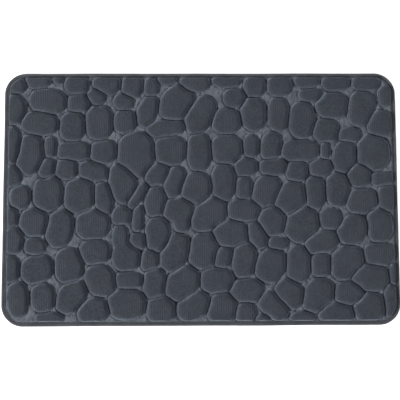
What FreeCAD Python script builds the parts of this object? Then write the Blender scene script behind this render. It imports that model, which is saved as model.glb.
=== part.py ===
import FreeCAD, Part
import math
import os

# A memory-foam bath mat, 700 x 450 mm, with an embossed pebble pattern on its top.
# Frame: +X along the long side, +Y towards the far long edge, +Z up.
# Origin: centre of the footprint, on the surface that the mat lies on. Millimetres.

# ---------------------------------------------------------------- driving dimensions
MAT_LENGTH = 700.0
MAT_WIDTH = 450.0
CORNER_RADIUS = 38.0
PEBBLE_TOP = 17.0           # top of the largest pebbles

# layers, from the surface upwards
NUB_HEIGHT = 1.5
GRIP_THICK = 0.6
CLOTH_THICK = 0.5
FOAM_FLOOR = 2.2            # foam left under a groove
COVER_THICK = 2.0           # plush pile and the cloth that carries it

# binding tape, folded around the edge of all the layers
TAPE_WIDTH = 7.0            # part of the tape seen from above
TAPE_THICK = 0.9
TAPE_FOLD_RADIUS = 1.3
TAPE_EASE = 0.05            # clearance between the tape and the faces it presses on
LAYER_SETBACK = 1.4         # from the outside of the tape to the edge of the layers

# grip nubs
NUB_PITCH = 20.0            # staggered grid
NUB_BASE_RADIUS = 3.0
NUB_TIP_RADIUS = 2.3
NUB_EDGE_MARGIN = 14.0

# stitches
THREAD_DIAMETER = 0.45
STITCH_PITCH = 4.0
STITCH_LENGTH = 3.2
STITCH_FROM_EDGE = 5.0
THREAD_EASE = 0.02

# pebbles
GROOVE_HALF = 0.6           # half the width of a groove at its floor
PEBBLE_POWER = 2.3          # between an ellipse and a rounded rectangle
PEBBLE_SWELL = 1.9          # how far the foot of a pebble spreads outside its lobes
CORNER_SOFTNESS = 1.1       # 1/mm, how tightly the corners of a pebble are rounded
NEIGHBOUR_REACH = 4.0       # widest gap over which two pebbles bound each other
OUTLINE_POINTS = 32
TAPE_CLEARANCE = 0.8        # from the foot of an outer pebble to the tape, before its corners are rounded
RAY_REACH = 64.0            # longer than any pebble's half-length
RAY_HALVINGS = 13           # steps to find where a ray leaves a pebble
SHOULDER = 7.0              # from the foot of a wide pebble inwards to its flat crown
PROFILE = ((0.0, 0.0), (0.14, 0.58), (0.45, 0.88), (1.0, 1.0))      # (part of the shoulder, part of the rise)
LEAST_PEBBLE = 1.2          # half-width under which no pebble is formed
LEAST_FOAM_PAD = 3.5        # and no foam pad under one: a slim pebble is all pile
SMALL_PEBBLE_DROP = 0.12    # mm lower for each mm that a pebble is narrower than WIDE_PEBBLE
WIDE_PEBBLE = 26.0

# small numbers that keep divisions and joins sound
LEAST_LEVEL = 1e-9
LEAST_SLOPE = 1e-3          # 1/mm
SEWING_GAP = 1e-4
LEVEL_EDGE = 0.01           # greatest rise of an edge that counts as level
CUT_MARGIN = 1.0            # how far a cutting slab stands out of what it cuts

# derived levels
GRIP_BOTTOM = NUB_HEIGHT
CLOTH_BOTTOM = GRIP_BOTTOM + GRIP_THICK
FOAM_BOTTOM = CLOTH_BOTTOM + CLOTH_THICK
COVER_BOTTOM = FOAM_BOTTOM + FOAM_FLOOR
GROOVE_FLOOR = COVER_BOTTOM + COVER_THICK
PEBBLE_LIMIT = TAPE_WIDTH + TAPE_CLEARANCE - GROOVE_HALF      # feet of the pebbles end just short of the tape

# ---------------------------------------------------------------- pebble layout
# Every pebble is one or two rounded lobes, each
# (x, y, half-size along its axis, half-size across, turn of the axis in degrees).
# Neighbours that run into each other are divided along the line between them.
FAR_EDGE = [
    (-328, 203, 18, 15, 0), (-291, 212, 24, 15, 0), (-255, 214, 10, 9, 0), (-221, 205, 22, 19, 0),
    (-168, 206, 25, 21, -10), (-122, 202, 20, 23, 0), (-88, 200, 15, 18, 0), (-60, 213, 20, 10, 0),
    (-10, 207, 28, 17, 0), (47, 211, 27, 13, 0), (97, 201, 20, 21, 0), (142, 202, 23, 20, 0),
    (191, 210, 24, 13, 0), (243, 207, 26, 16, 0), (297, 207, 26, 16, 0), (331, 183, 13, 20, 0),
]
FAR_INNER = [
    (-335, 160, 24, 27, 0), (-272, 174, 34, 23, -8), (-218, 171, 21, 17, 0), (-186, 182, 18, 15, -35),
    (-137, 173, 19, 15, -15), (-94, 156, 30, 18, 70), (-43, 171, 36, 28, 50), (0, 149, 37, 24, 60),
    (61, 180, 20, 18, 0), (46, 137, 26, 24, 0), (95, 151, 23, 31, 0), (139, 150, 20, 31, 0),
    (181, 139, 24, 33, 0), (198, 185, 22, 13, 0), (236, 166, 30, 24, 0), (288, 160, 33, 25, 80),
    (322, 132, 25, 25, 0), (224, 120, 24, 22, 0), (266, 112, 22, 14, 0),
]
FAR_MIDDLE = [
    (-336, 95, 19, 34, 0), (-286, 134, 34, 22, -5), (-228, 128, 23, 27, 0), (-181, 136, 25, 32, 0),
    (-135, 137, 21, 22, 0), (-62, 125, 35, 16, 5), (-304, 78, 37, 25, 82), (-267, 91, 20, 12, 90),
    (-225, 84, 31, 18, 0), (-173, 82, 25, 22, 20), (-115, 77, 42, 33, 90), (-54, 85, 29, 27, 0),
    (-3, 82, 35, 22, 90), (46, 87, 28, 27, 0), (90, 92, 21, 15, 90), (126, 92, 26, 19, 80),
    (177, 84, 35, 20, 0), (222, 84, 17, 10, 90), (256, 73, 30, 21, 80), (308, 80, 34, 29, 95),
]
CENTRE_FAR = [
    (-338, 40, 22, 20, 0), (-272, 54, 20, 14, 60), (-238, 52, 21, 19, 0), (-191, 48, 28, 18, -12),
    (-138, 27, 37, 25, 100), (-78, 42, 23, 19, 30), (-47, 28, 30, 18, 70), (-8, 18, 29, 27, 60),
    (40, 28, 34, 22, 90), (80, 55, 21, 17, 0), (77, 17, 21, 16, 90), (129, 55, 25, 16, 0),
    (171, 47, 20, 19, 0), (214, 53, 21, 17, 10), (283, 39, 22, 21, 0), (322, 33, 22, 14, 0),
]
CENTRE_NEAR = [
    (-319, 2, 19, 22, 0), (-270, 8, 31, 27, 90), (-215, 4, 31, 28, 80), (-172, 0, 30, 17, 100),
    (-112, 4, 27, 11, 55), (-80, -6, 28, 19, 80),
    [(-40, -22, 28, 22, 0), (-34, -46, 15, 16, 0)], (14, -31, 36, 26, 45), (75, -22, 30, 20, -5),
    (116, 12, 30, 24, 60), (160, 0, 31, 26, 50), (203, 9, 30, 19, 90), (243, 14, 31, 22, 90),
    (286, -7, 29, 23, 10), (331, -1, 18, 25, 0),
]
NEAR_MIDDLE = [
    (-338, -34, 17, 19, 0), (-295, -43, 26, 25, -30), (-249, -54, 34, 24, 80), (-191, -47, 30, 28, 0),
    (-141, -32, 18, 17, 0), (-111, -37, 25, 11, 87), (-76, -65, 31, 22, 90), (52, -64, 34, 23, 0),
    (99, -67, 25, 16, -65), (126, -42, 26, 24, -60), (178, -48, 33, 28, 45), (229, -38, 21, 19, 0),
    (268, -58, 30, 24, 50), (316, -50, 32, 23, 95),
]
NEAR_INNER = [
    (-335, -75, 23, 25, 0), (-292, -85, 20, 16, -10), (-187, -95, 28, 23, 0),
    [(-142, -70, 15, 24, 0), (-131, -103, 26, 27, 0)], (-112, -77, 16, 16, 0), (-91, -111, 17, 19, 0),
    (-46, -97, 36, 24, 65), (4, -92, 35, 25, 75), (39, -106, 20, 15, 75), (76, -111, 33, 21, 83),
    (137, -81, 19, 12, 0), (213, -80, 30, 20, 15), (316, -101, 30, 21, -5),
    (-338, -124, 21, 25, 0), (-288, -125, 30, 25, 20), (-232, -119, 32, 26, 90), (-177, -145, 30, 26, -50),
    (-127, -145, 26, 16, 0), (122, -120, 31, 26, 60), (171, -118, 33, 22, 90), (211, -120, 22, 19, 90),
    (256, -115, 34, 27, 50), (298, -143, 34, 24, 0), (340, -136, 10, 21, 0),
]
NEAR_EDGE = [
    (-321, -178, 32, 20, 93), (-277, -175, 26, 22, 90), (-265, -212, 26, 13, 0), (-227, -173, 33, 23, 55),
    (-188, -199, 29, 23, 30), (-131, -187, 34, 27, 0), (-82, -150, 28, 20, 85), (-71, -197, 26, 24, 0),
    (-33, -151, 34, 27, 50), (28, -146, 31, 23, 0), (-14, -191, 32, 23, 30), (36, -196, 30, 25, 70),
    (80, -164, 31, 22, 0), (78, -205, 19, 20, 0), (106, -214, 14, 9, 0), (127, -191, 30, 21, -40),
    (155, -170, 28, 24, -45), (178, -212, 24, 12, 0), (205, -173, 33, 26, 60), (236, -205, 32, 19, 0),
    (260, -169, 27, 21, 0), (295, -195, 29, 26, 35), (333, -183, 31, 13, 90),
]
LAYOUT = (FAR_EDGE + FAR_INNER + FAR_MIDDLE + CENTRE_FAR + CENTRE_NEAR + NEAR_MIDDLE
          + NEAR_INNER + NEAR_EDGE)
PEBBLES = [item if isinstance(item, list) else [item] for item in LAYOUT]


# ---------------------------------------------------------------- pebble outlines
def lobe_level(lobe, x, y):
    """Level of a point in a lobe (0 at its centre, 1 on its outline) and the level's gradient."""
    cx, cy, along, across, turn = lobe
    cos_t, sin_t = math.cos(math.radians(turn)), math.sin(math.radians(turn))
    u = ((x - cx) * cos_t + (y - cy) * sin_t) / along
    v = (-(x - cx) * sin_t + (y - cy) * cos_t) / across
    n = PEBBLE_POWER
    level = max((abs(u) ** n + abs(v) ** n) ** (1 / n), LEAST_LEVEL)
    du = math.copysign(abs(u / level) ** (n - 1), u) / along
    dv = math.copysign(abs(v / level) ** (n - 1), v) / across
    return level, du * cos_t - dv * sin_t, du * sin_t + dv * cos_t


def pebble_level(pebble, x, y):
    return min(lobe_level(lobe, x, y) for lobe in pebble)


def depth_inside_mat(x, y):
    """Distance from a point to the line that the pebbles stop at, along the binding."""
    qx = abs(x) - (MAT_LENGTH / 2 - CORNER_RADIUS)
    qy = abs(y) - (MAT_WIDTH / 2 - CORNER_RADIUS)
    reach = CORNER_RADIUS - PEBBLE_LIMIT
    if qx > 0 and qy > 0:
        return reach - math.hypot(qx, qy)
    return reach - max(qx, qy)


def depth_in_pebble(pebble, near, x, y):
    """How far a point lies inside a pebble's cell: a smooth minimum over all that bounds it."""
    level, gx, gy = pebble_level(pebble, x, y)
    depths = [(1 - level) / max(math.hypot(gx, gy), LEAST_SLOPE) + PEBBLE_SWELL, depth_inside_mat(x, y)]
    for other in near:
        level_2, gx_2, gy_2 = pebble_level(other, x, y)
        depths.append((level_2 - level) / max(math.hypot(gx_2 - gx, gy_2 - gy), LEAST_SLOPE))
    least = min(depths)
    spread = sum(math.exp(-CORNER_SOFTNESS * (d - least)) for d in depths)
    return least - math.log(spread) / CORNER_SOFTNESS


def neighbours(pebble):
    """Pebbles near enough to bound this one."""
    def clearance(a, b):
        return math.hypot(a[0] - b[0], a[1] - b[1]) - max(a[2:4]) - max(b[2:4])
    return [other for other in PEBBLES if other is not pebble
            and min(clearance(a, b) for a in pebble for b in other) < NEIGHBOUR_REACH]


def outline(pebble, near, centre, inset):
    """Points of a pebble's outline, drawn `inset` inside its cell, by rays from its centre."""
    points = []
    for k in range(OUTLINE_POINTS):
        angle = 2 * math.pi * k / OUTLINE_POINTS
        inside, outside = 0.0, RAY_REACH
        for _ in range(RAY_HALVINGS):
            middle = (inside + outside) / 2
            x = centre[0] + middle * math.cos(angle)
            y = centre[1] + middle * math.sin(angle)
            if depth_in_pebble(pebble, near, x, y) > inset:
                inside = middle
            else:
                outside = middle
        points.append((centre[0] + inside * math.cos(angle), centre[1] + inside * math.sin(angle)))
    return points


def pebble_centre(pebble, near):
    """Middle of the pebble's cell, which for a clipped pebble isn't the middle of its lobe."""
    x = sum(lobe[0] for lobe in pebble) / len(pebble)
    y = sum(lobe[1] for lobe in pebble) / len(pebble)
    limit_x = MAT_LENGTH / 2 - PEBBLE_LIMIT - NEIGHBOUR_REACH
    limit_y = MAT_WIDTH / 2 - PEBBLE_LIMIT - NEIGHBOUR_REACH
    x = max(-limit_x, min(limit_x, x))
    y = max(-limit_y, min(limit_y, y))
    if len(pebble) > 1:
        return x, y
    for _ in range(2):
        points = outline(pebble, near, (x, y), 0)
        x = sum(p[0] for p in points) / len(points)
        y = sum(p[1] for p in points) / len(points)
    return x, y


def closed_curve(points, z):
    curve = Part.BSplineCurve()
    curve.interpolate(Points=[FreeCAD.Vector(x, y, z) for x, y in points], PeriodicFlag=True)
    return Part.Wire([curve.toShape()])


def pebble_sections(pebble, shrink, floor, least_room):
    """Wires of one pebble from its foot to its crown, or none where there is no room for it.

    shrink: how far it lies inside the visible pebble, at its sides and under its crown;
    floor: level of its foot; least_room: half the width under which it is left out."""
    near = neighbours(pebble)
    centre = pebble_centre(pebble, near)
    room = depth_in_pebble(pebble, near, centre[0], centre[1]) - GROOVE_HALF - shrink
    if room < least_room:
        return []
    narrow = min(min(lobe[2:4]) for lobe in pebble)
    top = PEBBLE_TOP - SMALL_PEBBLE_DROP * max(0.0, WIDE_PEBBLE - narrow) - shrink
    shoulder = min(SHOULDER, room / 2)
    wires = []
    for inward, rise in PROFILE:
        inset = GROOVE_HALF + shrink + shoulder * inward
        wires.append(closed_curve(outline(pebble, near, centre, inset), floor + (top - floor) * rise))
    return wires


# ---------------------------------------------------------------- building blocks
def rounded_rectangle(outside_by, z):
    """Wire parallel to the mat's edge, `outside_by` inside it, with arcs at the corners."""
    half_x, half_y = MAT_LENGTH / 2 - outside_by, MAT_WIDTH / 2 - outside_by
    r = CORNER_RADIUS - outside_by
    straight_x, straight_y = half_x - r, half_y - r
    edges = []
    for quarter, (sx, sy) in enumerate(((1, 1), (-1, 1), (-1, -1), (1, -1))):
        centre = FreeCAD.Vector(sx * straight_x, sy * straight_y, z)
        edges.append(Part.makeCircle(r, centre, FreeCAD.Vector(0, 0, 1), 90 * quarter, 90 * quarter + 90))
    corners = [(edge.valueAt(edge.FirstParameter), edge.valueAt(edge.LastParameter)) for edge in edges]
    for k in range(4):
        edges.append(Part.makeLine(corners[k][1], corners[(k + 1) % 4][0]))
    return Part.Wire(Part.__sortEdges__(edges))


def slab(inside_by, bottom, top):
    face = Part.Face(rounded_rectangle(inside_by, bottom))
    return face.extrude(FreeCAD.Vector(0, 0, top - bottom))


def edge_wall(bottom, top):
    wire = rounded_rectangle(LAYER_SETBACK, bottom)
    return wire.extrude(FreeCAD.Vector(0, 0, top - bottom)).Faces


def face_with_holes(z, holes):
    """Plane face as large as the layers, with a hole for each wire in `holes`."""
    wires = [rounded_rectangle(LAYER_SETBACK, z)] + holes
    return Part.makeFace(wires, "Part::FaceMakerBullseye")


def closed_solid(faces):
    """One solid from the faces that enclose it."""
    shell = Part.makeShell(faces)
    shell.sewShape(SEWING_GAP)
    shell = shell.Shells[0] if shell.ShapeType == "Compound" else shell
    solid = Part.Solid(shell)
    if solid.Volume < 0:
        solid.reverse()
    return solid


def embossed_surface(sections, z):
    """Faces of a sheet at level z out of which the pebbles rise."""
    faces = [face_with_holes(z, [wires[0] for wires in sections])]
    for wires in sections:
        faces += Part.makeLoft(wires, False, True).Faces
        faces.append(Part.Face(wires[-1]))
    return faces


# ---------------------------------------------------------------- sub-parts
def make_pile_cover(cover_pebbles, foam_pebbles):
    """Plush cover: its outside, the hollow that the foam fills, and its edge."""
    faces = embossed_surface(cover_pebbles, GROOVE_FLOOR)
    faces += embossed_surface(foam_pebbles, COVER_BOTTOM)
    faces += edge_wall(COVER_BOTTOM, GROOVE_FLOOR)
    return closed_solid(faces)


def make_foam_core(foam_pebbles):
    """One sheet of memory foam, moulded with a pad under each pebble."""
    faces = embossed_surface(foam_pebbles, COVER_BOTTOM)
    faces += edge_wall(FOAM_BOTTOM, COVER_BOTTOM)
    faces.append(face_with_holes(FOAM_BOTTOM, []))
    return closed_solid(faces)


def make_backing_cloth():
    return slab(LAYER_SETBACK, CLOTH_BOTTOM, FOAM_BOTTOM)


def nub_centres():
    """Staggered grid with one nub in the middle of the mat."""
    rows = int(MAT_WIDTH / NUB_PITCH)
    columns = int(MAT_LENGTH / NUB_PITCH)
    limit_x, limit_y = MAT_LENGTH / 2 - NUB_EDGE_MARGIN, MAT_WIDTH / 2 - NUB_EDGE_MARGIN
    corner = CORNER_RADIUS - NUB_EDGE_MARGIN
    centres = []
    for row in range(-rows, rows + 1):
        for column in range(-columns, columns + 1):
            x = (column + 0.5 * (row % 2)) * NUB_PITCH
            y = row * NUB_PITCH * math.sqrt(3) / 2
            in_corner = math.hypot(max(abs(x) - limit_x + corner, 0), max(abs(y) - limit_y + corner, 0))
            if abs(x) <= limit_x and abs(y) <= limit_y and in_corner <= corner:
                centres.append((x, y))
    return centres


def make_grip_sheet():
    """Moulded rubber sheet: flat above, with low flat-tipped nubs below."""
    up = FreeCAD.Vector(0, 0, 1)
    holes, faces = [], []
    for x, y in nub_centres():
        foot = Part.Wire([Part.makeCircle(NUB_BASE_RADIUS, FreeCAD.Vector(x, y, GRIP_BOTTOM), up)])
        tip = Part.Wire([Part.makeCircle(NUB_TIP_RADIUS, FreeCAD.Vector(x, y, 0), up)])
        holes.append(foot)
        faces += Part.makeLoft([foot, tip], False, True).Faces
        faces.append(Part.Face(tip))
    faces.append(face_with_holes(GRIP_BOTTOM, holes))
    faces.append(face_with_holes(CLOTH_BOTTOM, []))
    faces += edge_wall(GRIP_BOTTOM, CLOTH_BOTTOM)
    return closed_solid(faces)


def make_edge_binding():
    """Tape folded around the edge: a channel that is open towards the middle of the mat."""
    bottom = GRIP_BOTTOM - TAPE_EASE - TAPE_THICK
    top = GROOVE_FLOOR + TAPE_EASE + TAPE_THICK
    outside = slab(0, bottom, top)
    rims = [edge for edge in outside.Edges if edge.BoundBox.ZLength < LEVEL_EDGE]
    outside = outside.makeFillet(TAPE_FOLD_RADIUS, rims)
    channel = slab(TAPE_THICK, bottom + TAPE_THICK, top - TAPE_THICK)
    window = slab(TAPE_WIDTH, bottom - CUT_MARGIN, top + CUT_MARGIN)
    return outside.cut(channel).cut(window)


def stitch_path(distance):
    """Point and direction of the seam line at a distance along it, from the right-hand side."""
    inside_by = STITCH_FROM_EDGE
    r = CORNER_RADIUS - inside_by
    run_x = MAT_LENGTH - 2 * CORNER_RADIUS
    run_y = MAT_WIDTH - 2 * CORNER_RADIUS
    quarter = math.pi * r / 2
    x, y, heading = MAT_LENGTH / 2 - inside_by, -run_y / 2, 90.0
    for run in (run_y, run_x, run_y, run_x):
        step = min(distance, run)
        x += step * math.cos(math.radians(heading))
        y += step * math.sin(math.radians(heading))
        distance -= step
        if distance <= 0:
            return x, y, heading
        turned = min(distance, quarter) / r
        start = math.radians(heading - 90)
        x += r * (math.cos(start + turned) - math.cos(start))
        y += r * (math.sin(start + turned) - math.sin(start))
        heading += math.degrees(turned)
        distance -= min(distance, quarter)
        if distance <= 0:
            return x, y, heading
    return x, y, heading


def make_stitches(z, phase):
    """A row of separate stitches that lie along the tape at level z."""
    r = CORNER_RADIUS - STITCH_FROM_EDGE
    length = 2 * (MAT_LENGTH + MAT_WIDTH - 4 * CORNER_RADIUS) + 2 * math.pi * r
    count = int(length / STITCH_PITCH)
    stitches = []
    for k in range(count):
        x, y, heading = stitch_path((k + phase) * length / count)
        along = FreeCAD.Vector(math.cos(math.radians(heading)), math.sin(math.radians(heading)), 0)
        start = FreeCAD.Vector(x, y, z) - along * (STITCH_LENGTH / 2)
        stitches.append(Part.makeCylinder(THREAD_DIAMETER / 2, STITCH_LENGTH, start, along))
    return Part.makeCompound(stitches)


# ---------------------------------------------------------------- output
def main():
    cover = [pebble_sections(pebble, 0.0, GROOVE_FLOOR, LEAST_PEBBLE) for pebble in PEBBLES]
    foam = [pebble_sections(pebble, COVER_THICK, COVER_BOTTOM, LEAST_FOAM_PAD) for pebble in PEBBLES]
    cover = [wires for wires in cover if wires]
    foam = [wires for wires in foam if wires]
    print(f"{len(PEBBLES)} pebbles in the layout, {len(cover)} formed, {len(foam)} with a foam pad")
    thread_out = TAPE_EASE + TAPE_THICK + THREAD_EASE + THREAD_DIAMETER / 2
    nodes = {
        "pile_cover": make_pile_cover(cover, foam),
        "foam_core": make_foam_core(foam),
        "backing_cloth": make_backing_cloth(),
        "grip_sheet": make_grip_sheet(),
        "edge_binding": make_edge_binding(),
        "binding_needle_thread": make_stitches(GROOVE_FLOOR + thread_out, 0.0),
        "binding_bobbin_thread": make_stitches(GRIP_BOTTOM - thread_out, 0.5),
    }
    os.makedirs("parts", exist_ok=True)
    for name, shape in nodes.items():
        shape.exportStep(f"parts/{name}.step")
        box = shape.optimalBoundingBox()
        print(f"{name}: valid {shape.isValid()}, {len(shape.Solids)} solids, {shape.Volume / 1000:.1f} cm3, "
              f"x {box.XMin:.2f}..{box.XMax:.2f}, y {box.YMin:.2f}..{box.YMax:.2f}, "
              f"z {box.ZMin:.2f}..{box.ZMax:.2f}")


main()
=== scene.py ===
import math

import bpy
import numpy as np
from mathutils import Matrix, Vector, geometry, kdtree, noise
from mathutils.bvhtree import BVHTree


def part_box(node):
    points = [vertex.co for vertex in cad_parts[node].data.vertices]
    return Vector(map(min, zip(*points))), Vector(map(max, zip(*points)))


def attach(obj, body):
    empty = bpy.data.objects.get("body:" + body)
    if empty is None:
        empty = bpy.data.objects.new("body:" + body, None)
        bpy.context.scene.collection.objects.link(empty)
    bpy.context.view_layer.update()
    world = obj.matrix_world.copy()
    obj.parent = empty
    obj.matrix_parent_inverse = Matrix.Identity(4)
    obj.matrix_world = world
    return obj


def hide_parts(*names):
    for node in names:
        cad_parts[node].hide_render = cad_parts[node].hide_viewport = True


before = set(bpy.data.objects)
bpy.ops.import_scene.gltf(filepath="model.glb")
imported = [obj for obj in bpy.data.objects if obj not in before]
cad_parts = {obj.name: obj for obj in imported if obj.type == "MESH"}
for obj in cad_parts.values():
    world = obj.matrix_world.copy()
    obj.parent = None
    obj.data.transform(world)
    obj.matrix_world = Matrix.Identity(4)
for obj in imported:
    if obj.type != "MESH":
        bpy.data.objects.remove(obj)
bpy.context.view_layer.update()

# A memory-foam bath mat: an embossed plush cover over foam, a woven binding tape with its two
# seam threads, and a nubbed rubber underside. Everything is in metres, in the CAD frame.

MM = 0.001
SEED = 7

# ------------------------------------------------------------------ sizes read from the frame
tape_low, tape_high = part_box("edge_binding")
needle_low, needle_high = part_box("binding_needle_thread")
bobbin_low, bobbin_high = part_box("binding_bobbin_thread")
grip_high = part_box("grip_sheet")[1]

HALF_LENGTH = tape_high.x
HALF_WIDTH = tape_high.y
CORNER_RADIUS = 38 * MM
TAPE_MIDDLE = (tape_low.z + tape_high.z) / 2
TAPE_WIDTH = 7 * MM             # seen from above
THREAD_DIAMETER = needle_high.z - needle_low.z
STITCH_PITCH = 4 * MM
STITCH_FROM_EDGE = HALF_LENGTH - needle_high.x + THREAD_DIAMETER / 2

LEVEL_COSINE = 0.9999           # least upright part of a level face's normal
HEIGHT_SLACK = 0.01 * MM
ABOVE_ALL = 0.1                 # a height that is higher than anything here
MERGE_DISTANCE = 1e-7


# ------------------------------------------------------------------ mesh helpers
def new_object(name, points, faces):
    """A smoothly shaded object, linked to the scene."""
    mesh = bpy.data.meshes.new(name)
    mesh.from_pydata([tuple(p) for p in points], [], [tuple(f) for f in faces])
    mesh.update()
    mesh.polygons.foreach_set("use_smooth", np.ones(len(mesh.polygons), bool))
    obj = bpy.data.objects.new(name, mesh)
    bpy.context.scene.collection.objects.link(obj)
    return obj


def point_values(obj, name, values):
    """Stores one number per vertex, which a material reads by its name."""
    attribute = obj.data.attributes.new(name, "FLOAT", "POINT")
    attribute.data.foreach_set("value", np.asarray(values, np.float32))


def strip_faces(rows, columns, closed_rows=False, closed_columns=False, start=0):
    """Quads of a grid of points stored row after row."""
    faces = []
    for r in range(rows if closed_rows else rows - 1):
        for c in range(columns if closed_columns else columns - 1):
            r2, c2 = (r + 1) % rows, (c + 1) % columns
            faces.append((start + r * columns + c, start + r * columns + c2,
                          start + r2 * columns + c2, start + r2 * columns + c))
    return faces


def node_mesh(node):
    """Welded points and triangles of a CAD node."""
    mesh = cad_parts[node].data
    mesh.calc_loop_triangles()
    points = np.zeros(len(mesh.vertices) * 3)
    mesh.vertices.foreach_get("co", points)
    triangles = np.zeros(len(mesh.loop_triangles) * 3, int)
    mesh.loop_triangles.foreach_get("vertices", triangles)
    points, index = np.unique(points.reshape(-1, 3).round(6), axis=0, return_inverse=True)
    return points, index.ravel()[triangles].reshape(-1, 3)


def flat_outlines(node, facing, low, high):
    """Outlines of a node's level faces that face up (1) or down (-1) between two heights."""
    points, triangles = node_mesh(node)
    a, b, c = (points[triangles[:, k]] for k in range(3))
    normal = np.cross(b - a, c - a)
    length = np.linalg.norm(normal, axis=1)
    height = (a[:, 2] + b[:, 2] + c[:, 2]) / 3
    level = (normal[:, 2] * facing > LEVEL_COSINE * length) & (length > 0)
    used = {}
    for triangle in triangles[level & (height > low) & (height < high)]:
        for k in range(3):
            edge = (int(triangle[k]), int(triangle[(k + 1) % 3]))
            if (edge[1], edge[0]) in used:
                del used[(edge[1], edge[0])]
            else:
                used[edge] = True
    after = {start: end for start, end in used}
    loops = []
    while after:
        start = next(iter(after))
        loop = [start]
        following = after.pop(start)
        while following != start:
            loop.append(following)
            following = after.pop(following)
        loops.append(points[loop])
    return loops


def resampled(loop, count):
    """A closed outline as `count` points, evenly spaced along it."""
    closed = np.vstack([loop, loop[:1]])
    along = np.concatenate([[0], np.cumsum(np.linalg.norm(np.diff(closed, axis=0), axis=1))])
    at = np.arange(count) / count * along[-1]
    return np.column_stack([np.interp(at, along, closed[:, k]) for k in range(loop.shape[1])])


def inside_outline(places, loop):
    """Which places lie inside a closed outline."""
    inside = np.zeros(len(places), bool)
    x, y = places[:, 0], places[:, 1]
    for (x1, y1), (x2, y2) in zip(loop, np.roll(loop, -1, axis=0)):
        crossing = (y1 > y) != (y2 > y)
        with np.errstate(divide="ignore", invalid="ignore"):
            at = (x2 - x1) * (y - y1) / (y2 - y1) + x1
        inside ^= crossing & (x < at)
    return inside


def outside_outlines(places, loops, among):
    """Which of the places marked in `among` lie outside every one of some closed outlines."""
    kept = among.copy()
    for loop in loops:
        low, high = loop.min(axis=0), loop.max(axis=0)
        near = kept & (places > low).all(axis=1) & (places < high).all(axis=1)
        kept[np.flatnonzero(near)[inside_outline(places[near], loop)]] = False
    return kept


def nearest_distance(places, targets):
    """Distance from each place to the nearest target."""
    tree = kdtree.KDTree(len(targets))
    for k, (x, y) in enumerate(targets):
        tree.insert((x, y, 0), k)
    tree.balance()
    return np.array([tree.find((x, y, 0))[2] for x, y in places])


def edge_distance(places, loop, stretch):
    """Distance from each place to a closed outline, times a factor that each of its sides has."""
    side = np.roll(loop, -1, axis=0) - loop
    offset = places[:, None] - loop[None]
    along = (offset * side).sum(axis=2) / np.maximum((side ** 2).sum(axis=1), 1e-12)
    nearest = offset - np.clip(along, 0, 1)[:, :, None] * side
    return (np.sqrt((nearest ** 2).sum(axis=2)) * stretch).min(axis=1)


def triangulated(loops, loose=()):
    """Triangles over closed outlines and loose places: points, faces, and which place each is."""
    places = np.vstack([*loops, *loose])
    edges, at = [], 0
    for loop in loops:
        edges += [(at + k, at + (k + 1) % len(loop)) for k in range(len(loop))]
        at += len(loop)
    flat = geometry.delaunay_2d_cdt([Vector(p) for p in places], edges, [], 0, MERGE_DISTANCE, True)
    return np.array([(p.x, p.y) for p in flat[0]]), flat[2], flat[3]


def wobble(x, y, size, seed):
    """Smooth noise from -1 to 1, whose features have about the given size."""
    return noise.noise(Vector((x / size, y / size, seed)))


# ------------------------------------------------------------------ the edge path
def edge_inset(x, y):
    """Distance from a place to the mat's edge, inwards."""
    qx = abs(x) - (HALF_LENGTH - CORNER_RADIUS)
    qy = abs(y) - (HALF_WIDTH - CORNER_RADIUS)
    if qx > 0 and qy > 0:
        return CORNER_RADIUS - math.hypot(qx, qy)
    return CORNER_RADIUS - max(qx, qy)


def edge_path(inside_by, step):
    """Points and outward directions along the rounded rectangle that lies inside the mat's edge."""
    r = CORNER_RADIUS - inside_by
    run_x, run_y = HALF_LENGTH - CORNER_RADIUS, HALF_WIDTH - CORNER_RADIUS
    quarter = math.pi * r / 2
    spans = [2 * run_y, quarter, 2 * run_x, quarter] * 2
    total = sum(spans)
    count = int(round(total / step))
    places, outward = np.zeros((count, 2)), np.zeros((count, 2))
    starts = np.concatenate([[0], np.cumsum(spans)])
    corners = [(run_x, run_y), (-run_x, run_y), (-run_x, -run_y), (run_x, -run_y)]
    for k in range(count):
        s = k / count * total
        span = min(int(np.searchsorted(starts, s, side="right")) - 1, len(spans) - 1)
        side, on_arc = divmod(span, 2)
        rest = s - starts[span]
        heading = math.pi / 2 * side
        if on_arc:
            angle = heading + rest / r
            normal = (math.cos(angle), math.sin(angle))
            places[k] = (corners[side][0] + r * normal[0], corners[side][1] + r * normal[1])
        else:
            before = corners[side - 1]
            normal = (math.cos(heading), math.sin(heading))
            places[k] = (before[0] + r * normal[0] - rest * normal[1],
                         before[1] + r * normal[1] + rest * normal[0])
        outward[k] = normal
    return places, outward, total


# ------------------------------------------------------------------ material helpers
def material(name, base, roughness, sheen=0.0, sheen_roughness=0.4, sheen_tint=(1, 1, 1)):
    made = bpy.data.materials.new(name)
    made.use_nodes = True
    shader = made.node_tree.nodes["Principled BSDF"]
    shader.inputs["Base Color"].default_value = (*base, 1)
    shader.inputs["Roughness"].default_value = roughness
    shader.inputs["Sheen Weight"].default_value = sheen
    shader.inputs["Sheen Roughness"].default_value = sheen_roughness
    shader.inputs["Sheen Tint"].default_value = (*sheen_tint, 1)
    shader.inputs["Specular IOR Level"].default_value = 0.2
    return made


def paint(obj, made):
    obj.data.materials.clear()
    obj.data.materials.append(made)


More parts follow.
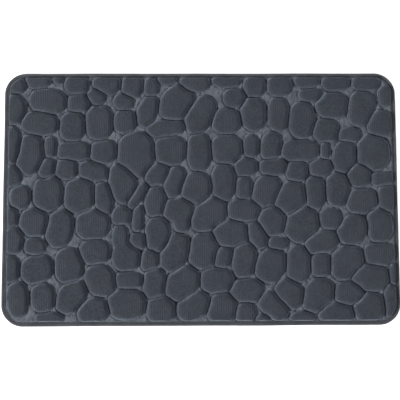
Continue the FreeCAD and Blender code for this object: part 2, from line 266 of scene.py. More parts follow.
class Nodes:
    """Short calls for building a material's node tree."""

    def __init__(self, made):
        self.tree = made.node_tree
        self.shader = made.node_tree.nodes["Principled BSDF"]
        self.place = self.add("ShaderNodeTexCoord").outputs["Object"]

    def add(self, kind, **settings):
        node = self.tree.nodes.new(kind)
        for key, value in settings.items():
            setattr(node, key, value)
        return node

    def link(self, source, target):
        self.tree.links.new(source, target)

    def stored(self, name):
        """A number that point_values stored on the mesh."""
        return self.add("ShaderNodeAttribute", attribute_name=name).outputs["Fac"]

    def noise(self, scale, detail=2.0, roughness=0.5, stretch=None):
        place = self.place
        if stretch:
            mapping = self.add("ShaderNodeMapping")
            mapping.inputs["Scale"].default_value = stretch
            self.link(place, mapping.inputs["Vector"])
            place = mapping.outputs["Vector"]
        node = self.add("ShaderNodeTexNoise")
        node.inputs["Scale"].default_value = scale
        node.inputs["Detail"].default_value = detail
        node.inputs["Roughness"].default_value = roughness
        self.link(place, node.inputs["Vector"])
        return node.outputs["Fac"]

    def wave(self, axis, period, distortion=0.0, detail_scale=1.0):
        """Bands across an axis; the texture draws 20 / (2 pi) of them per unit of its scale."""
        node = self.add("ShaderNodeTexWave", bands_direction=axis)
        node.inputs["Scale"].default_value = 2 * math.pi / (20 * period)
        node.inputs["Distortion"].default_value = distortion
        node.inputs["Detail"].default_value = 1.0
        node.inputs["Detail Scale"].default_value = detail_scale
        self.link(self.place, node.inputs["Vector"])
        return node.outputs["Fac"]

    def math(self, operation, a, b=None):
        node = self.add("ShaderNodeMath", operation=operation)
        for socket, value in zip(node.inputs, (a, b)):
            if isinstance(value, (int, float)):
                socket.default_value = value
            elif value is not None:
                self.link(value, socket)
        return node.outputs[0]

    def times(self, a, b):
        return self.math("MULTIPLY", a, b)

    def ripple(self, distance, period):
        """A sine of a stored distance."""
        return self.math("SINE", self.times(distance, 2 * math.pi / period))

    def between(self, value, low, high, to_low=0.0, to_high=1.0):
        """Maps the range from low to high onto another, and holds it there."""
        node = self.add("ShaderNodeMapRange")
        limits = (("From Min", low), ("From Max", high), ("To Min", to_low), ("To Max", to_high))
        for name, number in limits:
            node.inputs[name].default_value = number
        self.link(value, node.inputs["Value"])
        return node.outputs["Result"]

    def mix(self, share, first, second):
        """Mixes two colours, each a tuple or a node's output."""
        node = self.add("ShaderNodeMix", data_type="RGBA")
        colours = [s for s in node.inputs if s.type == "RGBA"]
        self.link(share, node.inputs["Factor"])
        for socket, value in zip(colours, (first, second)):
            if isinstance(value, tuple):
                socket.default_value = (*value, 1)
            else:
                self.link(value, socket)
        return next(s for s in node.outputs if s.type == "RGBA")

    def bump(self, height, distance, strength=1.0, under=None):
        node = self.add("ShaderNodeBump")
        node.inputs["Distance"].default_value = distance
        node.inputs["Strength"].default_value = strength
        self.link(height, node.inputs["Height"])
        if under is not None:
            self.link(under, node.inputs["Normal"])
        return node.outputs["Normal"]

    def finish(self, colour=None, normal=None, roughness=None):
        for name, value in (("Base Color", colour), ("Normal", normal), ("Roughness", roughness)):
            if value is not None:
                self.link(value, self.shader.inputs[name])


# ------------------------------------------------------------------ materials
PILE = (0.034, 0.039, 0.050)
PILE_SHADES = ((0.0130, 0.0174, 0.0204), (0.0145, 0.0184, 0.0284))      # of its deepest parts
PILE_TONE = (0.0360, 0.0410, 0.0520)
PILE_CLUMP = (0.0400, 0.0450, 0.0560)
PILE_GRAIN = (0.0530, 0.0590, 0.0710)
PILE_FIBRE = (0.066, 0.072, 0.087)
PILE_RIB = (0.068, 0.075, 0.089)
# paler pressed pile on the pebbles' low walls, which is also a painted sheen highlight along their
# rims
PILE_PRESSED_SHEEN = (0.124, 0.135, 0.156)
# paler matted pile in the wide gaps, with painted light that lifts the shade between the pebbles
PILE_MATTED_LIT = (0.160, 0.177, 0.198)
RIB_PERIOD = 3.2 * MM

TAPE = (0.052, 0.055, 0.062)
TAPE_NEW, TAPE_WORN = (0.060, 0.064, 0.071), (0.090, 0.095, 0.103)
TAPE_WEAVE = (0.130, 0.135, 0.145)
# painted shade in the seam's groove
TAPE_SEAM_SHADE = (0.020, 0.022, 0.025)
TAPE_RIB_PERIOD, TAPE_WARP_PERIOD = 0.75 * MM, 0.5 * MM

THREAD = (0.060, 0.066, 0.080)
THREAD_DARK, THREAD_PALE = (0.045, 0.050, 0.062), (0.085, 0.093, 0.110)

RUBBER = (0.030, 0.032, 0.037)
RUBBER_CLEAN, RUBBER_DUSTY = (0.027, 0.029, 0.034), (0.050, 0.053, 0.060)
RUBBER_PERIOD = 1.2 * MM

FOAM = (0.70, 0.64, 0.42)
FOAM_CELL, FOAM_WALL, FOAM_AGED = (0.50, 0.44, 0.27), (0.76, 0.70, 0.50), (0.66, 0.56, 0.32)

CLOTH = (0.10, 0.105, 0.115)
CLOTH_DARK, CLOTH_PALE = (0.060, 0.064, 0.072), (0.150, 0.156, 0.170)
CLOTH_PERIOD = 0.6 * MM


def pile_material():
    """Short plush: tufts in ribs along Y and brushed patches; paler pressed pile low down, which is
    also a painted sheen highlight on the pebbles' walls; and paler matted pile in the wide gaps,
    with painted light that lifts their shade.
    """
    made = material("plush_pile", PILE, 0.95, 0.55, 0.40, (0.60, 0.70, 0.86))
    n = Nodes(made)
    height = n.stored("height_share")
    valley = n.stored("valley_share")
    patches = n.between(n.noise(22, 4, 0.6), 0.38, 0.62)
    clumps = n.between(n.noise(230, 4, 0.75), 0.34, 0.66)
    grain = n.between(n.noise(400, 2, 0.85), 0.43, 0.57)
    fibres = n.noise(1500, 3, 0.75)
    streaks = n.noise(330, 3, 0.7, (1.0, 0.4, 1.0))
    spots = n.between(n.noise(55, 2), 0.38, 0.62)
    ribs = n.times(n.wave("X", RIB_PERIOD, 1.8, 1.2), n.between(n.noise(30, 2), 0.42, 0.62))
    colour = n.mix(patches, *PILE_SHADES)
    colour = n.mix(n.times(n.stored("tone"), 0.25), colour, PILE_TONE)
    colour = n.mix(n.times(clumps, 0.50), colour, PILE_CLUMP)
    colour = n.mix(n.times(grain, 0.74), colour, PILE_GRAIN)
    colour = n.mix(n.between(fibres, 0.38, 0.64, 0.0, 0.60), colour, PILE_FIBRE)
    colour = n.mix(n.times(ribs, 0.50), colour, PILE_RIB)
    # painted sheen highlight: paler pressed pile low on each pebble's wall, in streaks
    pressed_sheen = n.times(n.between(height, 0.86, 0.36), n.between(streaks, 0.40, 0.60, 0.2, 1.0))
    pressed_sheen = n.times(pressed_sheen, n.between(n.noise(65, 2), 0.42, 0.60, 0.25, 1.0))
    colour = n.mix(pressed_sheen, colour, PILE_PRESSED_SHEEN)
    # matted pile in the wide gaps: paler pile, and painted light that lifts the shade there
    matted_and_lit = n.times(n.math("POWER", valley, 0.6), n.between(streaks, 0.34, 0.60, 0.30, 1.0))
    matted_and_lit = n.times(matted_and_lit, n.between(spots, 0, 1, 0.45, 1.0))
    colour = n.mix(matted_and_lit, colour, PILE_MATTED_LIT)
    normal = n.bump(ribs, 0.6 * MM, 0.8)
    normal = n.bump(grain, 0.45 * MM, 0.7, normal)
    normal = n.bump(fibres, 0.45 * MM, 0.9, normal)
    tufts = n.times(n.noise(620, 3, 0.7), n.between(height, 0.97, 0.60, 0.15, 1.0))
    normal = n.bump(tufts, 1.6 * MM, 0.8, normal)
    normal = n.bump(n.times(streaks, n.math("ADD", valley, 0.10)), 2.0 * MM, 0.7, normal)
    n.finish(colour, normal)
    return made


def tape_material():
    """Ribbed woven tape: the ribs run across it, from stored distances along and across."""
    made = material("binding_tape", TAPE, 0.85, 0.35, 0.35, (0.8, 0.86, 1.0))
    n = Nodes(made)
    ribs = n.ripple(n.stored("along"), TAPE_RIB_PERIOD)
    warp = n.ripple(n.stored("across"), TAPE_WARP_PERIOD)
    weave = n.times(n.math("ADD", ribs, n.times(warp, 0.5)), 0.5)
    wear = n.between(n.noise(60, 3), 0.35, 0.7)
    colour = n.mix(wear, TAPE_NEW, TAPE_WORN)
    colour = n.mix(n.between(weave, 0.1, 0.8, 0.0, 0.35), colour, TAPE_WEAVE)
    # painted shade along the seam groove, darkest at the stitch line
    colour = n.mix(n.between(n.stored("seam_share"), 0.3, 1.0, 0.0, 0.45), colour, TAPE_SEAM_SHADE)
    normal = n.bump(weave, 0.18 * MM, 0.6)
    normal = n.bump(n.noise(700, 2), 0.2 * MM, 0.5, normal)
    n.finish(colour, normal)
    return made


def thread_material():
    """Twisted polyester thread."""
    made = material("sewing_thread", THREAD, 0.6, 0.3, 0.3, (0.9, 0.93, 1.0))
    n = Nodes(made)
    fibres = n.noise(2200, 2)
    n.finish(n.mix(fibres, THREAD_DARK, THREAD_PALE), n.bump(fibres, 0.05 * MM, 0.6))
    return made


def rubber_material():
    """Moulded rubber with a fine crossed texture and a dusty bloom."""
    made = material("grip_rubber", RUBBER, 0.62)
    n = Nodes(made)
    grain = n.noise(1400, 2)
    bloom = n.between(n.noise(9, 4), 0.3, 0.75)
    crossed = n.math("MAXIMUM", n.wave("X", RUBBER_PERIOD), n.wave("Y", RUBBER_PERIOD))
    normal = n.bump(crossed, 0.12 * MM, 0.5)
    normal = n.bump(grain, 0.08 * MM, 0.5, normal)
    n.finish(n.mix(bloom, RUBBER_CLEAN, RUBBER_DUSTY), normal, n.between(bloom, 0, 1, 0.55, 0.78))
    return made


def foam_material():
    """Open-cell foam, yellowed in places."""
    made = material("memory_foam", FOAM, 0.95)
    n = Nodes(made)
    cells = n.add("ShaderNodeTexVoronoi")
    cells.inputs["Scale"].default_value = 1100
    n.link(n.place, cells.inputs["Vector"])
    size = cells.outputs["Distance"]
    colour = n.mix(n.between(size, 0.1, 0.6), FOAM_CELL, FOAM_WALL)
    colour = n.mix(n.between(n.noise(12, 3), 0.4, 0.7, 0, 0.4), colour, FOAM_AGED)
    n.finish(colour, n.bump(size, 0.3 * MM, 0.7))
    return made


def cloth_material():
    """Plain-weave backing cloth."""
    made = material("backing_cloth", CLOTH, 0.9)
    n = Nodes(made)
    weave = n.times(n.wave("X", CLOTH_PERIOD), n.wave("Y", CLOTH_PERIOD))
    n.finish(n.mix(weave, CLOTH_DARK, CLOTH_PALE), n.bump(weave, 0.12 * MM, 0.6))
    return made


# ------------------------------------------------------------------ plush cover
POINT_SPACING = 3.3 * MM        # along a pebble's outline
FEWEST_POINTS, MOST_POINTS = 20, 60                             # of an outline
LEAST_PEBBLE = 5 * MM           # every crown is higher than this above the floor
SHOULDER = 8.8 * MM             # width over which a wide pebble rises from its foot to its crown
SHOULDER_SHARE = 0.84           # of the way to the centre, where a pebble is narrower than that
SHOULDER_RINGS = (0.0, 0.02, 0.06, 0.13, 0.23, 0.37, 0.55, 0.76, 1.0)     # inward from the foot
CROWN_RINGS = (0.80, 0.55, 0.28)                                # of the shoulder's inner outline
WALL_POWER, EDGE_POWER = 2.3, 1.7                               # of the shoulder's rounding
CROWN_RISE = 0.8 * MM           # dome of the crown above the top of the shoulder
STEEP_AT_TAPE = 2.6             # how much faster a pebble rises where the tape cuts it off
NEAR_TAPE = 1.6 * MM            # an outline this close to the tape is cut off by it
RELIEF = ((0.45, 19 * MM, 0.0), (0.26, 7 * MM, 3.3))            # mm high, feature size, seed
RELIEF_SINK = 0.4               # mm, which keeps the relief below the CAD's top
PILE_OVER_FOAM = 1.2 * MM       # least pile and cloth above the foam
COVER_UNDER_TAPE = 2.5 * MM
RIM_SPACING = 3 * MM
VALLEY_SPACING = 2.4 * MM
VALLEY_SCATTER = 0.3            # of the spacing
VALLEY_CLEARANCE = 1.1 * MM     # between a loose point and an outline
VALLEY_TONE = 0.5
VALLEY_RISE = 4.0 * MM          # how far matted pile fills a wide gap between pebbles
VALLEY_DEPTH = 3 * MM           # pile this far above the fill is no longer matted, nor lit by painted light
WIDE_GAP = 2.0 * MM             # places this far from every pebble are filled with matted pile
FILL_REACH = 6.2 * MM           # and so are places up to this far from those, less and less
FILL_BLEND = 0.8 * MM           # how softly the fill meets a pebble's side
FILL_FADE = 3 * MM              # and over this width it grows from nothing beside the tape
CREASE, CREASE_SIZE = 0.5 * MM, 5 * MM                          # unevenness of the fill
LOOSENESS = ((1.0, 15 * MM, 0), (0.5, 6 * MM, 5))               # mm sideways, feature size, seed
LOOSE_SEEDS = (31.0, 47.0)      # for the shifts along X and Y
LOOSE_FADE = 8 * MM             # width beside the tape where the outlines are held


def profile(share):
    """Share of a pebble's rise at a share of the way across its shoulder."""
    return (1 - (1 - share) ** WALL_POWER) ** (1 / EDGE_POWER)


def layered_wobble(x, y, layers, seed):
    """Sum of smooth noises, each layer a height, a feature size and a shift of the seed."""
    return sum(height * wobble(x, y, size, seed + shift) for height, size, shift in layers)


def pebble_surface(foot, crown, count, seed):
    """Points, faces, height shares and outline of one pebble, domed from its foot to its centre."""
    top = crown[0, 2] - CROWN_RISE / 2
    floor = foot[0, 2]
    centre = crown[:, :2].mean(axis=0)
    ring = resampled(foot, count)
    outer = np.linalg.norm(ring[:, :2] - centre, axis=1)
    direction = (ring[:, :2] - centre) / outer[:, None]
    width = np.minimum(SHOULDER, outer * SHOULDER_SHARE)
    places, sizes = [], []
    for inward in SHOULDER_RINGS:
        places.append(centre + direction * (outer - width * inward)[:, None])
        sizes.append(1 - width * inward / outer)
    for size in CROWN_RINGS:
        places.append(centre + direction * ((outer - width) * size)[:, None])
        sizes.append((1 - width / outer) * size)
    places = np.vstack(places + [centre])
    sizes = np.concatenate(sizes + [[0]])
    at_tape = np.array([edge_inset(x, y) < TAPE_WIDTH + NEAR_TAPE for x, y, _ in ring])
    stretch = np.where(at_tape & np.roll(at_tape, -1), STEEP_AT_TAPE, 1.0)
    depth = edge_distance(places, ring[:, :2], stretch)
    depth[:count] = 0
    shares = profile(np.clip(depth / min(SHOULDER, SHOULDER_SHARE * depth.max()), 0, 1))
    relief = np.array([layered_wobble(x, y, RELIEF, seed) - RELIEF_SINK for x, y in places])
    heights = floor + (top - floor + CROWN_RISE * (1 - sizes ** 2) + relief * MM) * shares
    rows = len(SHOULDER_RINGS) + len(CROWN_RINGS)
    faces = strip_faces(rows, count, closed_columns=True)
    last, middle = (rows - 1) * count, rows * count
    faces += [(last + k, last + (k + 1) % count, middle) for k in range(count)]
    return np.column_stack([places, heights]), faces, list(shares), ring[:, :2]


def pebble_outlines():
    """Height of the floor between the pebbles, and each pebble's foot and crown outlines."""
    floor = min(loop[0, 2] for loop in flat_outlines("pile_cover", 1, 0, ABOVE_ALL))
    feet = flat_outlines("pile_cover", 1, floor - HEIGHT_SLACK, floor + HEIGHT_SLACK)
    crowns = flat_outlines("pile_cover", 1, floor + LEAST_PEBBLE, ABOVE_ALL)
    feet.sort(key=lambda loop: -np.ptp(loop[:, 0]))
    feet = feet[1:]             # the first is the rim of the whole sheet
    pairs = []
    for crown in crowns:
        centre = crown[:, :2].mean(axis=0)
        foot = next(loop for loop in feet if inside_outline(centre[None], loop[:, :2])[0])
        pairs.append((foot, crown))
    return floor, pairs


def loose_places(rings, rim, rng):
    """Places scattered over the floor between the pebbles."""
    nx, ny = int(2 * HALF_LENGTH / VALLEY_SPACING), int(2 * HALF_WIDTH / VALLEY_SPACING)
    gx, gy = np.meshgrid(np.linspace(-HALF_LENGTH, HALF_LENGTH, nx),
                         np.linspace(-HALF_WIDTH, HALF_WIDTH, ny))
    scatter = rng.uniform(-VALLEY_SCATTER, VALLEY_SCATTER, (nx * ny, 2)) * VALLEY_SPACING
    free = np.column_stack([gx.ravel(), gy.ravel()]) + scatter
    free = free[outside_outlines(free, rings, inside_outline(free, rim))]
    return free[nearest_distance(free, np.vstack(rings + [rim])) > VALLEY_CLEARANCE]


def fill_wide_gaps(cover, floor, open_places):
    """Raises matted pile in the wide gaps and up against the pebbles around them."""
    vertices = cover.data.vertices
    places = np.array([vertex.co[:] for vertex in vertices])
    near = np.clip(1 - nearest_distance(places[:, :2], open_places) / FILL_REACH, 0, 1)
    near *= np.clip([(edge_inset(x, y) - TAPE_WIDTH) / FILL_FADE for x, y, _ in places], 0, 1)
    near = near * near * (3 - 2 * near)
    crease = np.array([wobble(x, y, CREASE_SIZE, 21.0) for x, y, _ in places]) * CREASE
    fill = floor + (VALLEY_RISE + crease) * near
    above = places[:, 2] - fill
    raised = fill + (above + np.sqrt(above ** 2 + (FILL_BLEND * near) ** 2)) / 2
    for vertex, height in zip(vertices, raised):
        vertex.co.z = height
    point_values(cover, "valley_share", near * np.clip(1 - above / VALLEY_DEPTH, 0, 1))


def loosen_outlines(cover):
    """Shifts the cover sideways by up to about a millimetre, so no outline is a drawn curve."""
    for vertex in cover.data.vertices:
        x, y = vertex.co.x, vertex.co.y
        hold = min(max((edge_inset(x, y) - TAPE_WIDTH) / LOOSE_FADE, 0), 1)
        for axis, seed in enumerate(LOOSE_SEEDS):
            vertex.co[axis] += layered_wobble(x, y, LOOSENESS, seed) * hold * MM


def lift_over_foam(cover):
    """Keeps the cover above the foam under it."""
    points, triangles = node_mesh("foam_core")
    foam = BVHTree.FromPolygons(points.tolist(), triangles.tolist())
    for vertex in cover.data.vertices:
        start = Vector((vertex.co.x, vertex.co.y, ABOVE_ALL))
        hit = foam.ray_cast(start, Vector((0, 0, -1)))[0]
        if hit:
            vertex.co.z = max(vertex.co.z, hit.z + PILE_OVER_FOAM)


def make_cover():
    """The plush: a fine surface over each pebble, and the floor that joins their feet."""
    floor, outlines = pebble_outlines()
    rng = np.random.default_rng(SEED)
    points, faces, shares, tones = [], [], [], []
    rings, ring_ids = [], []
    for number, (foot, crown) in enumerate(outlines):
        length = np.linalg.norm(np.diff(foot, axis=0), axis=1).sum()
        count = int(min(max(length / POINT_SPACING, FEWEST_POINTS), MOST_POINTS))
        own, own_faces, own_shares, ring = pebble_surface(foot, crown, count, SEED + number)
        start = len(points)
        points.extend(own)
        faces.extend([tuple(start + k for k in face) for face in own_faces])
        shares.extend(own_shares)
        tones.extend([rng.uniform()] * len(own))
        rings.append(ring)
        ring_ids.append(np.arange(start, start + count))
    # the floor between the pebbles, out to a rim that lies under the binding
    rim, _, _ = edge_path(TAPE_WIDTH - COVER_UNDER_TAPE, RIM_SPACING)
    made, made_faces, sources = triangulated(rings + [rim], loose_places(rings, rim, rng))
    middle = np.array([made[list(face)].mean(axis=0) for face in made_faces])
    wanted = outside_outlines(middle, rings, inside_outline(middle, rim))
    pebble_ids = np.concatenate(ring_ids)
    index = {}
    for k, place in enumerate(made):
        if sources[k] and sources[k][0] < len(pebble_ids):
            index[k] = int(pebble_ids[sources[k][0]])
            continue
        index[k] = len(points)
        points.append((place[0], place[1], floor))
        shares.append(0.0)
        tones.append(VALLEY_TONE)
    faces += [tuple(index[k] for k in face) for face, use in zip(made_faces, wanted) if use]
    cover = new_object("cover", points, faces)
    point_values(cover, "height_share", shares)
    point_values(cover, "tone", tones)
    fill_wide_gaps(cover, floor, made[nearest_distance(made, np.vstack(rings)) > WIDE_GAP])
    paint(cover, pile_material())
    loosen_outlines(cover)
    lift_over_foam(cover)
    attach(cover, "root")
    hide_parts("pile_cover")


# ------------------------------------------------------------------ binding tape
TAPE_THICK = 0.9 * MM
TAPE_STEP = 1.0 * MM            # between the sections along it
TAPE_FOLD = 1.7 * MM            # outer radius of the fold around the mat's edge
TAPE_FOLD_POINTS = 7            # of each quarter turn
TAPE_SIDE_HOLLOW = 0.12 * MM    # of the side between the two quarter turns
TAPE_CUFF = 0.6 * MM            # slant of the hollow's corners
TAPE_SWAY = ((0.55 * MM, 95 * MM, 0), (0.15 * MM, 16 * MM, 5))
SEAM_DIP = 0.22 * MM            # how much deeper the seam is where a stitch pulls it
SEAM_WIDTH = 0.9 * MM
SWAY_FADE = 3 * MM              # the tape sways more and more up to this far from the seam


def tape_section():
    """The folded tape's outer and inner skin: distance in from the mat's edge, and height."""
    low, high = tape_low.z, tape_high.z
    width, thick = TAPE_WIDTH, TAPE_THICK
    outside = [(width, high - 0.25 * MM),
               (width - 0.35 * MM, high - 0.02 * MM),
               (width - 1.0 * MM, high - 0.08 * MM),
               (STITCH_FROM_EDGE + 0.45 * MM, high - 0.42 * MM),
               (STITCH_FROM_EDGE, high - 0.66 * MM),
               (STITCH_FROM_EDGE - 0.5 * MM, high - 0.40 * MM),
               (3.8 * MM, high - 0.06 * MM),
               (2.8 * MM, high)]
    for k in range(TAPE_FOLD_POINTS):
        angle = math.pi / 2 * (k / (TAPE_FOLD_POINTS - 1))
        outside.append((TAPE_FOLD - TAPE_FOLD * math.sin(angle),
                        high - TAPE_FOLD + TAPE_FOLD * math.cos(angle)))
    mirrored = [(x, low + high - z) for x, z in reversed(outside)]
    outside += [(TAPE_SIDE_HOLLOW, TAPE_MIDDLE)] + mirrored
    inside = [(width, low + thick),
              (2.2 * MM, low + thick),
              (1.2 * MM, low + thick + TAPE_CUFF),
              (1.1 * MM, TAPE_MIDDLE),
              (1.2 * MM, high - thick - TAPE_CUFF),
              (2.2 * MM, high - thick),
              (width, high - thick)]
    return outside, inside


def make_binding():
    """The tape's section, swept around the edge, with a wavering edge and a dimpled seam."""
    outside, inside = tape_section()
    section = np.array(outside + inside)
    places, outward, total = edge_path(0, TAPE_STEP)
    count, size = len(places), len(section)
    points = np.zeros((count * size, 3))
    along, across, seam = (np.zeros(count * size) for _ in range(3))
    reach = np.concatenate([[0], np.cumsum(np.linalg.norm(np.diff(section, axis=0), axis=1))])
    stitches = int(total / STITCH_PITCH)
    for k in range(count):
        x, y = places[k]
        pull = 0.5 + 0.5 * math.cos(2 * math.pi * k / count * stitches)
        sway = layered_wobble(x, y, TAPE_SWAY, 3.0)
        for j, (inward, z) in enumerate(section):
            from_seam = inward - STITCH_FROM_EDGE
            near_seam = math.exp(-(from_seam / SEAM_WIDTH) ** 2)
            shift, dip = 0, 0
            if j < len(outside):
                shift = sway * min(abs(from_seam) / SWAY_FADE, 1)
                dip = SEAM_DIP * near_seam * pull * (1 if z > TAPE_MIDDLE else -1)
            at = k * size + j
            points[at] = (x - outward[k, 0] * (inward + shift),
                          y - outward[k, 1] * (inward + shift), z - dip)
            along[at], across[at] = k / count * total, reach[j]
            seam[at] = near_seam
    faces = strip_faces(count, size, closed_rows=True, closed_columns=True)
    binding = new_object("edge_tape", points, faces)
    point_values(binding, "along", along)
    point_values(binding, "across", across)
    point_values(binding, "seam_share", seam)
    paint(binding, tape_material())
    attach(binding, "root")
    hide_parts("edge_binding")


# ------------------------------------------------------------------ stitches
STITCH_LENGTH = 3.2 * MM
STITCH_RINGS, STITCH_SIDES = 9, 8
STITCH_PATH_STEP = 0.5 * MM
THREAD_SINK = 0.25 * MM         # the stitches pull into the seam
THREAD_PULLED = 0.9             # of its own radius, under tension
PLY_DEPTH, PLY_TURN = 0.10, 5.0                                 # of the two twisted plies
DIVE_FROM = 0.45                # share of the way from a stitch's middle to its end
DIVE_DEPTH = 0.55 * MM
DIVE_SCALE = 0.3                # near the square of the rest of that way, so the end is that deep
SLIM_FROM, SLIM_BY = 0.7, 0.35  # the thread thins towards its ends


def make_stitches(name, node, low, high, phase, side, made):
    """A row of separate stitches: each a short twisted thread whose ends dive into the tape."""
    radius = (high.z - low.z) / 2
    level = (high.z + low.z) / 2 - side * THREAD_SINK
    places, outward, total = edge_path(STITCH_FROM_EDGE, STITCH_PATH_STEP)
    count = int(total / STITCH_PITCH)
    fine = len(places)
    points, faces = [], []
    for k in range(count):
        middle = (k + phase) / count * fine
        for r in range(STITCH_RINGS):
            part = r / (STITCH_RINGS - 1) * 2 - 1
            at = middle + part * STITCH_LENGTH / 2 / total * fine
            i = int(math.floor(at))
            place = places[i % fine] * (1 - (at - i)) + places[(i + 1) % fine] * (at - i)
            out = outward[i % fine]
            drop = side * DIVE_DEPTH * max(abs(part) - DIVE_FROM, 0) ** 2 / DIVE_SCALE
            slim = 1 - SLIM_BY * max(abs(part) - SLIM_FROM, 0) / (1 - SLIM_FROM)
            for j in range(STITCH_SIDES):
                angle = 2 * math.pi * j / STITCH_SIDES
                ply = 1 + PLY_DEPTH * math.cos(2 * angle - PLY_TURN * part)
                reach = radius * THREAD_PULLED * slim * ply
                points.append((place[0] + out[0] * reach * math.cos(angle),
                               place[1] + out[1] * reach * math.cos(angle),
                               level - drop + reach * math.sin(angle)))
        start = k * STITCH_RINGS * STITCH_SIDES
        last = start + (STITCH_RINGS - 1) * STITCH_SIDES
        faces += strip_faces(STITCH_RINGS, STITCH_SIDES, closed_columns=True, start=start)
        faces.append(tuple(start + j for j in reversed(range(STITCH_SIDES))))
        faces.append(tuple(last + j for j in range(STITCH_SIDES)))
    thread = new_object(name, points, faces)
    paint(thread, made)
    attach(thread, "root")
    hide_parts(node)


# ------------------------------------------------------------------ grip sheet
NUB_PROFILE = ((3.6, 1.50), (3.15, 1.40), (2.85, 1.05), (2.62, 0.50),
               (2.40, 0.16), (2.05, 0.0), (1.0, 0.0))           # radius and height in mm
NUB_SIDES = 14
NUB_TIP_REACH = 0.1 * MM        # the nubs' tips lie lower than this
GRIP_RIM_SPACING = 4 * MM


def make_grip_sheet():
    """Rubber sheet with round-shouldered nubs, at the CAD nubs' places."""
    foot_radius, foot_height = (value * MM for value in NUB_PROFILE[0])
    points, faces, rings = [], [], []
    for tip in flat_outlines("grip_sheet", -1, -1 * MM, NUB_TIP_REACH):
        centre = tip[:, :2].mean(axis=0)
        start = len(points)
        for radius, z in NUB_PROFILE:
            for j in range(NUB_SIDES):
                angle = 2 * math.pi * j / NUB_SIDES
                points.append((centre[0] + radius * MM * math.cos(angle),
                               centre[1] + radius * MM * math.sin(angle), z * MM))
        points.append((centre[0], centre[1], 0))
        own = strip_faces(len(NUB_PROFILE), NUB_SIDES, closed_columns=True, start=start)
        last = start + (len(NUB_PROFILE) - 1) * NUB_SIDES
        own += [(last + j, last + (j + 1) % NUB_SIDES, last + NUB_SIDES) for j in range(NUB_SIDES)]
        faces += [tuple(reversed(face)) for face in own]
        rings.append(np.array([points[start + j][:2] for j in range(NUB_SIDES)]))
    # the underside between the nubs
    rim, _, _ = edge_path(HALF_LENGTH - grip_high.x, GRIP_RIM_SPACING)
    made, made_faces, sources = triangulated(rings + [rim])
    stride = len(NUB_PROFILE) * NUB_SIDES + 1
    on_nubs = len(rings) * NUB_SIDES
    index, rim_ids = {}, {}
    for k, place in enumerate(made):
        source = sources[k][0]
        if source < on_nubs:
            index[k] = (source // NUB_SIDES) * stride + source % NUB_SIDES
        else:
            index[k] = rim_ids[source - on_nubs] = len(points)
            points.append((place[0], place[1], foot_height))
    centres = np.array([ring.mean(axis=0) for ring in rings])
    inner_radius = foot_radius * math.cos(math.pi / NUB_SIDES)
    for face in made_faces:
        middle = made[list(face)].mean(axis=0)
        if np.min(np.hypot(*(centres - middle).T)) > inner_radius - 1e-6:
            faces.append(tuple(index[k] for k in reversed(face)))
    # the side and the upper face
    upper = len(points)
    points += [(x, y, grip_high.z) for x, y in rim]
    count = len(rim)
    for k in range(count):
        k2 = (k + 1) % count
        faces.append((rim_ids[k], rim_ids[k2], upper + k2, upper + k))
    faces.append(tuple(upper + k for k in range(count)))
    grip = new_object("grip_underside", points, faces)
    paint(grip, rubber_material())
    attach(grip, "root")
    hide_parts("grip_sheet")


# ------------------------------------------------------------------ stage, light and camera
FLOOR_HALF = 6.0
FLOOR_GLOW = 0.68               # keeps the floor as white as a lit studio sweep
WORLD_COLOUR, WORLD_STRENGTH = (0.93, 0.95, 1.0), 0.270

CAMERA_DISTANCE = 1.65
CAMERA_AIM = (-0.0016, -0.0034, 0.004)
CAMERA_TILT, CAMERA_PAN, CAMERA_ROLL = 5.97, -0.80, -0.26       # degrees
CAMERA_LENS, CAMERA_SENSOR = 83.6, 36


def make_stage():
    """A plain pale floor at the height of the nubs' tips."""
    corners = [(-1, -1), (1, -1), (1, 1), (-1, 1)]
    floor = new_object("floor", [(x * FLOOR_HALF, y * FLOOR_HALF, 0) for x, y in corners],
                       [(0, 1, 2, 3)])
    made = material("floor", (0.88, 0.88, 0.88), 0.9)
    shader = made.node_tree.nodes["Principled BSDF"]
    shader.inputs["Emission Color"].default_value = (1, 1, 1, 1)
    shader.inputs["Emission Strength"].default_value = FLOOR_GLOW
    paint(floor, made)


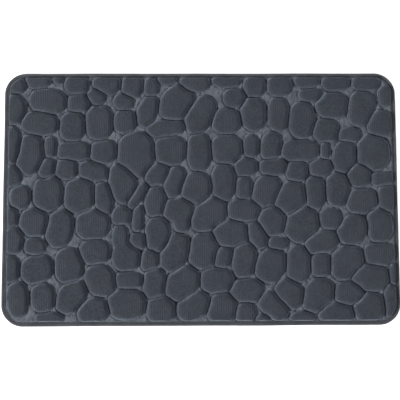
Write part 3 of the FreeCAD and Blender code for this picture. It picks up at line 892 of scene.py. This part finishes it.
def area_light(name, place, size, power, colour=(1, 1, 1)):
    """A rectangular light that faces the mat's centre."""
    data = bpy.data.lights.new(name, "AREA")
    data.shape = "RECTANGLE"
    data.size, data.size_y = size
    data.energy = power
    data.color = colour
    light = bpy.data.objects.new(name, data)
    bpy.context.scene.collection.objects.link(light)
    light.location = place
    light.rotation_euler = (-Vector(place)).to_track_quat("-Z", "Y").to_euler()


def make_lights():
    """A key light low on the left, a weak one overhead, and a soft sky all round."""
    area_light("key_left", (-3.8, -1.8, 2.9), (1.5, 1.5), 308)
    area_light("overhead", (1.3, 1.3, 2.2), (2.8, 2.2), 25, (0.97, 0.98, 1.0))
    world = bpy.data.worlds.new("world")
    world.use_nodes = True
    sky = world.node_tree.nodes["Background"]
    sky.inputs["Color"].default_value = (*WORLD_COLOUR, 1)
    sky.inputs["Strength"].default_value = WORLD_STRENGTH
    bpy.context.scene.world = world


def make_camera():
    """Looks down on the mat, about six degrees off the vertical, towards the near edge."""
    tilt, pan, roll = (math.radians(angle) for angle in (CAMERA_TILT, CAMERA_PAN, CAMERA_ROLL))
    back = Vector((math.sin(pan) * math.cos(tilt),
                   -math.sin(tilt),
                   math.cos(tilt) * math.cos(pan))).normalized()
    data = bpy.data.cameras.new("camera")
    data.lens, data.sensor_width = CAMERA_LENS, CAMERA_SENSOR
    camera = bpy.data.objects.new("camera", data)
    bpy.context.scene.collection.objects.link(camera)
    right = Vector((0, 1, 0)).cross(back).normalized()
    up = back.cross(right)
    turned_right = right * math.cos(roll) + up * math.sin(roll)
    turned_up = up * math.cos(roll) - right * math.sin(roll)
    place = Vector(CAMERA_AIM) + back * CAMERA_DISTANCE
    rows = [[turned_right[i], turned_up[i], back[i], place[i]] for i in range(3)]
    camera.matrix_world = Matrix(rows + [[0, 0, 0, 1]])
    bpy.context.scene.camera = camera


# ------------------------------------------------------------------ the scene
make_stage()
make_lights()
make_camera()
bpy.context.scene.view_settings.view_transform = "Standard"

thread = thread_material()
make_cover()
make_binding()
make_stitches("needle_stitches", "binding_needle_thread", needle_low, needle_high, 0.0, 1, thread)
make_stitches("bobbin_stitches", "binding_bobbin_thread", bobbin_low, bobbin_high, 0.5, -1, thread)
make_grip_sheet()

for node, made, slot in (("foam_core", foam_material(), "memory_foam"),
                         ("backing_cloth", cloth_material(), "backing_cloth")):
    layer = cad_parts[node]
    paint(layer, made)
